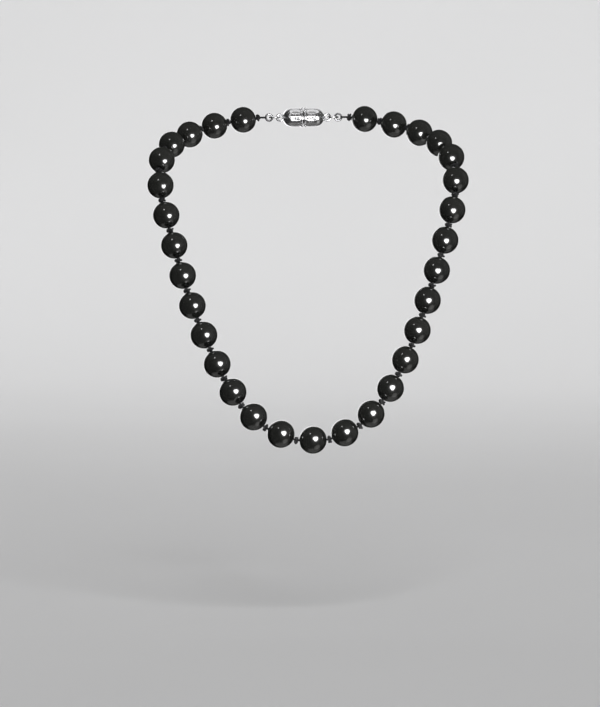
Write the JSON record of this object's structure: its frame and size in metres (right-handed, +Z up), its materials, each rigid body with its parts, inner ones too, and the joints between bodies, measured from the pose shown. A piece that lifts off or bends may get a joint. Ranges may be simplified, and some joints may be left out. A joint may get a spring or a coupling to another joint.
{
  "type": "pearl necklace",
  "caption": "Princess-style strand of round black pearls, knotted on silk between every two, draped in a U and closed at the nape by a magnetic barrel clasp.",
  "frame": {"origin": "midway between the two shoulder pearls, at the middle of the neck that holds the strand", "axes": "+Z up; -Y to the front, the side the wearer faces; +X to the right as seen from the front. The draped front leans back with the chest by 20 degrees."},
  "size_m": [0.1193, 0.0825, 0.1264],
  "materials": {
    "pearl": "polished",
    "silk": "matte",
    "metal": "polished",
    "magnet": "satin"
  },
  "bodies": {
    "shoulders": {"silk_shoulder_left": "silk", "silk_shoulder_right": "silk"},
    "tier_10": {"silk_left_10": "silk", "silk_right_10": "silk"},
    "tier_09": {"silk_left_09": "silk", "silk_right_09": "silk"},
    "tier_08": {"silk_left_08": "silk", "silk_right_08": "silk"},
    "tier_07": {"silk_left_07": "silk", "silk_right_07": "silk"},
    "tier_06": {"silk_left_06": "silk", "silk_right_06": "silk"},
    "tier_05": {"silk_left_05": "silk", "silk_right_05": "silk"},
    "tier_04": {"silk_left_04": "silk", "silk_right_04": "silk"},
    "tier_03": {"silk_left_03": "silk", "silk_right_03": "silk"},
    "tier_02": {"silk_left_02": "silk", "silk_right_02": "silk"},
    "tier_01": {"silk_bottom": "silk"},
    "back_left": {"silk_back_left": "silk", "clasp_shell_left": "metal", "clasp_magnet_left": "magnet"},
    "back_right": {"silk_back_right": "silk", "clasp_shell_right": "metal", "clasp_magnet_right": "magnet"},
    "ring_left": {"clasp_ring_left": "metal"},
    "ring_right": {"clasp_ring_right": "metal"},
    "pearl_01": {"pearl_01": "pearl"},
    "pearl_02": {"pearl_02": "pearl"},
    "pearl_03": {"pearl_03": "pearl"},
    "pearl_04": {"pearl_04": "pearl"},
    "pearl_05": {"pearl_05": "pearl"},
    "pearl_06": {"pearl_06": "pearl"},
    "pearl_07": {"pearl_07": "pearl"},
    "pearl_08": {"pearl_08": "pearl"},
    "pearl_09": {"pearl_09": "pearl"},
    "pearl_10": {"pearl_10": "pearl"},
    "pearl_11": {"pearl_11": "pearl"},
    "pearl_12": {"pearl_12": "pearl"},
    "pearl_13": {"pearl_13": "pearl"},
    "pearl_14": {"pearl_14": "pearl"},
    "pearl_15": {"pearl_15": "pearl"},
    "pearl_16": {"pearl_16": "pearl"},
    "pearl_17": {"pearl_17": "pearl"},
    "pearl_18": {"pearl_18": "pearl"},
    "pearl_19": {"pearl_19": "pearl"},
    "pearl_20": {"pearl_20": "pearl"},
    "pearl_21": {"pearl_21": "pearl"},
    "pearl_22": {"pearl_22": "pearl"},
    "pearl_23": {"pearl_23": "pearl"},
    "pearl_24": {"pearl_24": "pearl"},
    "pearl_25": {"pearl_25": "pearl"},
    "pearl_26": {"pearl_26": "pearl"},
    "pearl_27": {"pearl_27": "pearl"},
    "pearl_28": {"pearl_28": "pearl"},
    "pearl_29": {"pearl_29": "pearl"},
    "pearl_30": {"pearl_30": "pearl"},
    "pearl_31": {"pearl_31": "pearl"}
  },
  "joints": [
    {"name": "strand_flex_10", "type": "hinge", "parent": "shoulders", "child": "tier_10", "pos_m": [0.00016, -0.00019, -0.00412], "axis": [-0.9998, -0.0134, -0.0157], "range_deg": [0, 30]},
    {"name": "strand_flex_09", "type": "hinge", "parent": "tier_10", "child": "tier_09", "pos_m": [0.00076, -0.00557, -0.0149], "axis": [-0.9998, -0.0067, -0.0185], "range_deg": [0, 30]},
    {"name": "strand_flex_08", "type": "hinge", "parent": "tier_09", "child": "tier_08", "pos_m": [0.001, -0.00946, -0.026], "axis": [-0.9998, -0.0067, -0.0184], "range_deg": [0, 30]},
    {"name": "strand_flex_07", "type": "hinge", "parent": "tier_08", "child": "tier_07", "pos_m": [0.00104, -0.01347, -0.037], "axis": [-0.9998, -0.0071, -0.0194], "range_deg": [0, 30]},
    {"name": "strand_flex_06", "type": "hinge", "parent": "tier_07", "child": "tier_06", "pos_m": [0.00101, -0.01744, -0.04792], "axis": [-0.9997, -0.0077, -0.021], "range_deg": [0, 30]},
    {"name": "strand_flex_05", "type": "hinge", "parent": "tier_06", "child": "tier_05", "pos_m": [0.00117, -0.02137, -0.05871], "axis": [-0.9997, -0.0079, -0.0217], "range_deg": [0, 30]},
    {"name": "strand_flex_04", "type": "hinge", "parent": "tier_05", "child": "tier_04", "pos_m": [0.0015, -0.02523, -0.06932], "axis": [-0.9997, -0.0077, -0.0211], "range_deg": [0, 30]},
    {"name": "strand_flex_03", "type": "hinge", "parent": "tier_04", "child": "tier_03", "pos_m": [0.00161, -0.02898, -0.07963], "axis": [-0.9997, -0.0084, -0.023], "range_deg": [0, 30]},
    {"name": "strand_flex_02", "type": "hinge", "parent": "tier_03", "child": "tier_02", "pos_m": [0.0018, -0.03254, -0.0894], "axis": [-0.9997, -0.0089, -0.0244], "range_deg": [0, 30]},
    {"name": "strand_flex_01", "type": "hinge", "parent": "tier_02", "child": "tier_01", "pos_m": [0.00207, -0.0355, -0.09753], "axis": [-0.9997, -0.0079, -0.0217], "range_deg": [0, 30]},
    {"name": "clasp_open", "type": "hinge", "parent": "shoulders", "child": "back_left", "pos_m": [-0.05302, 0.0082, 0.00272], "axis": [0, 0, 1], "range_deg": [0, 35]},
    {"name": "clasp_open_right", "type": "hinge", "parent": "shoulders", "child": "back_right", "pos_m": [0.05247, 0.01041, 0.00318], "axis": [0, 0, -1], "range_deg": [0, 35]},
    {"name": "ring_rock_left", "type": "hinge", "parent": "back_left", "child": "ring_left", "pos_m": [-0.01222, 0.03636, 0.01502], "axis": [-0.9999, -0.0141, -0.0068], "range_deg": [-25, 25]},
    {"name": "ring_rock_right", "type": "hinge", "parent": "back_right", "child": "ring_right", "pos_m": [0.00998, 0.03667, 0.01517], "axis": [0.9999, 0.0141, 0.0068], "range_deg": [-25, 25]},
    {"name": "pearl_01_turn", "type": "hinge", "parent": "back_left", "child": "pearl_01", "pos_m": [-0.02426, 0.03441, 0.01409], "axis": [0.9401, 0.3075, 0.1473], "continuous": true},
    {"name": "pearl_02_turn", "type": "hinge", "parent": "back_left", "child": "pearl_02", "pos_m": [-0.03508, 0.02965, 0.01181], "axis": [0.8477, 0.4784, 0.2292], "continuous": true},
    {"name": "pearl_03_turn", "type": "hinge", "parent": "back_left", "child": "pearl_03", "pos_m": [-0.04426, 0.02273, 0.00846], "axis": [0.6705, 0.6669, 0.3252], "continuous": true},
    {"name": "pearl_04_turn", "type": "hinge", "parent": "back_left", "child": "pearl_04", "pos_m": [-0.05067, 0.01344, 0.00461], "axis": [0.3883, 0.8674, 0.3113], "continuous": true},
    {"name": "pearl_05_turn", "type": "hinge", "parent": "shoulders", "child": "pearl_05", "pos_m": [-0.05399, 0.00364, -0.00113], "axis": [0.1604, 0.7537, 0.6373], "continuous": true},
    {"name": "pearl_06_turn", "type": "hinge", "parent": "tier_10", "child": "pearl_06", "pos_m": [-0.0542, -0.00343, -0.01044], "axis": [-0.1249, 0.414, 0.9017], "continuous": true},
    {"name": "pearl_07_turn", "type": "hinge", "parent": "tier_09", "child": "pearl_07", "pos_m": [-0.05192, -0.00787, -0.02142], "axis": [-0.2523, 0.3202, 0.9131], "continuous": true},
    {"name": "pearl_08_turn", "type": "hinge", "parent": "tier_08", "child": "pearl_08", "pos_m": [-0.04885, -0.01181, -0.03244], "axis": [-0.2563, 0.3306, 0.9083], "continuous": true},
    {"name": "pearl_09_turn", "type": "hinge", "parent": "tier_07", "child": "pearl_09", "pos_m": [-0.04562, -0.0158, -0.0434], "axis": [-0.2764, 0.3287, 0.9031], "continuous": true},
    {"name": "pearl_10_turn", "type": "hinge", "parent": "tier_06", "child": "pearl_10", "pos_m": [-0.04195, -0.01974, -0.05423], "axis": [-0.3299, 0.3229, 0.8871], "continuous": true},
    {"name": "pearl_11_turn", "type": "hinge", "parent": "tier_05", "child": "pearl_11", "pos_m": [-0.03763, -0.0236, -0.06485], "axis": [-0.3842, 0.3158, 0.8676], "continuous": true},
    {"name": "pearl_12_turn", "type": "hinge", "parent": "tier_04", "child": "pearl_12", "pos_m": [-0.03271, -0.02738, -0.07523], "axis": [-0.4302, 0.3087, 0.8483], "continuous": true},
    {"name": "pearl_13_turn", "type": "hinge", "parent": "tier_03", "child": "pearl_13", "pos_m": [-0.02692, -0.03101, -0.08519], "axis": [-0.5265, 0.2908, 0.7989], "continuous": true},
    {"name": "pearl_14_turn", "type": "hinge", "parent": "tier_02", "child": "pearl_14", "pos_m": [-0.01937, -0.0342, -0.09396], "axis": [-0.7216, 0.2368, 0.6506], "continuous": true},
    {"name": "pearl_15_turn", "type": "hinge", "parent": "tier_01", "child": "pearl_15", "pos_m": [-0.00942, -0.03643, -0.10009], "axis": [-0.9231, 0.1315, 0.3613], "continuous": true},
    {"name": "pearl_16_turn", "type": "hinge", "parent": "tier_01", "child": "pearl_16", "pos_m": [0.00219, -0.03718, -0.10214], "axis": [0.9997, 0.0078, 0.0215], "continuous": true},
    {"name": "pearl_17_turn", "type": "hinge", "parent": "tier_01", "child": "pearl_17", "pos_m": [0.01368, -0.03625, -0.09959], "axis": [0.9044, 0.146, 0.401], "continuous": true},
    {"name": "pearl_18_turn", "type": "hinge", "parent": "tier_02", "child": "pearl_18", "pos_m": [0.02324, -0.03384, -0.09297], "axis": [0.676, 0.252, 0.6924], "continuous": true},
    {"name": "pearl_19_turn", "type": "hinge", "parent": "tier_03", "child": "pearl_19", "pos_m": [0.03032, -0.03052, -0.08384], "axis": [0.4949, 0.2972, 0.8166], "continuous": true},
    {"name": "pearl_20_turn", "type": "hinge", "parent": "tier_04", "child": "pearl_20", "pos_m": [0.03581, -0.02683, -0.07372], "axis": [0.412, 0.3116, 0.8562], "continuous": true},
    {"name": "pearl_21_turn", "type": "hinge", "parent": "tier_05", "child": "pearl_21", "pos_m": [0.0403, -0.02299, -0.06318], "axis": [0.3309, 0.3228, 0.8868], "continuous": true},
    {"name": "pearl_22_turn", "type": "hinge", "parent": "tier_06", "child": "pearl_22", "pos_m": [0.04414, -0.01907, -0.05239], "axis": [0.3027, 0.326, 0.8956], "continuous": true},
    {"name": "pearl_23_turn", "type": "hinge", "parent": "tier_07", "child": "pearl_23", "pos_m": [0.04767, -0.01511, -0.04152], "axis": [0.2816, 0.3282, 0.9017], "continuous": true},
    {"name": "pearl_24_turn", "type": "hinge", "parent": "tier_08", "child": "pearl_24", "pos_m": [0.05089, -0.01112, -0.03056], "axis": [0.25, 0.3312, 0.9099], "continuous": true},
    {"name": "pearl_25_turn", "type": "hinge", "parent": "tier_09", "child": "pearl_25", "pos_m": [0.05368, -0.00717, -0.01947], "axis": [0.2118, 0.3229, 0.9224], "continuous": true},
    {"name": "pearl_26_turn", "type": "hinge", "parent": "tier_10", "child": "pearl_26", "pos_m": [0.05512, -0.00233, -0.00858], "axis": [0.0256, 0.4764, 0.8789], "continuous": true},
    {"name": "pearl_27_turn", "type": "hinge", "parent": "shoulders", "child": "pearl_27", "pos_m": [0.05387, 0.00548, -0.00004], "axis": [-0.2318, 0.8144, 0.5321], "continuous": true},
    {"name": "pearl_28_turn", "type": "hinge", "parent": "back_right", "child": "pearl_28", "pos_m": [0.04972, 0.01539, 0.00525], "axis": [-0.4536, 0.823, 0.3419], "continuous": true},
    {"name": "pearl_29_turn", "type": "hinge", "parent": "back_right", "child": "pearl_29", "pos_m": [0.04268, 0.0242, 0.00917], "axis": [-0.7104, 0.6333, 0.307], "continuous": true},
    {"name": "pearl_30_turn", "type": "hinge", "parent": "back_right", "child": "pearl_30", "pos_m": [0.03312, 0.03072, 0.01232], "axis": [-0.8697, 0.4451, 0.2132], "continuous": true},
    {"name": "pearl_31_turn", "type": "hinge", "parent": "back_right", "child": "pearl_31", "pos_m": [0.0221, 0.03509, 0.01441], "axis": [-0.9517, 0.2768, 0.1326], "continuous": true}
  ],
  "couplings": [
    {"joint": "clasp_open_right", "follows": "clasp_open", "ratio": 1}
  ]
}
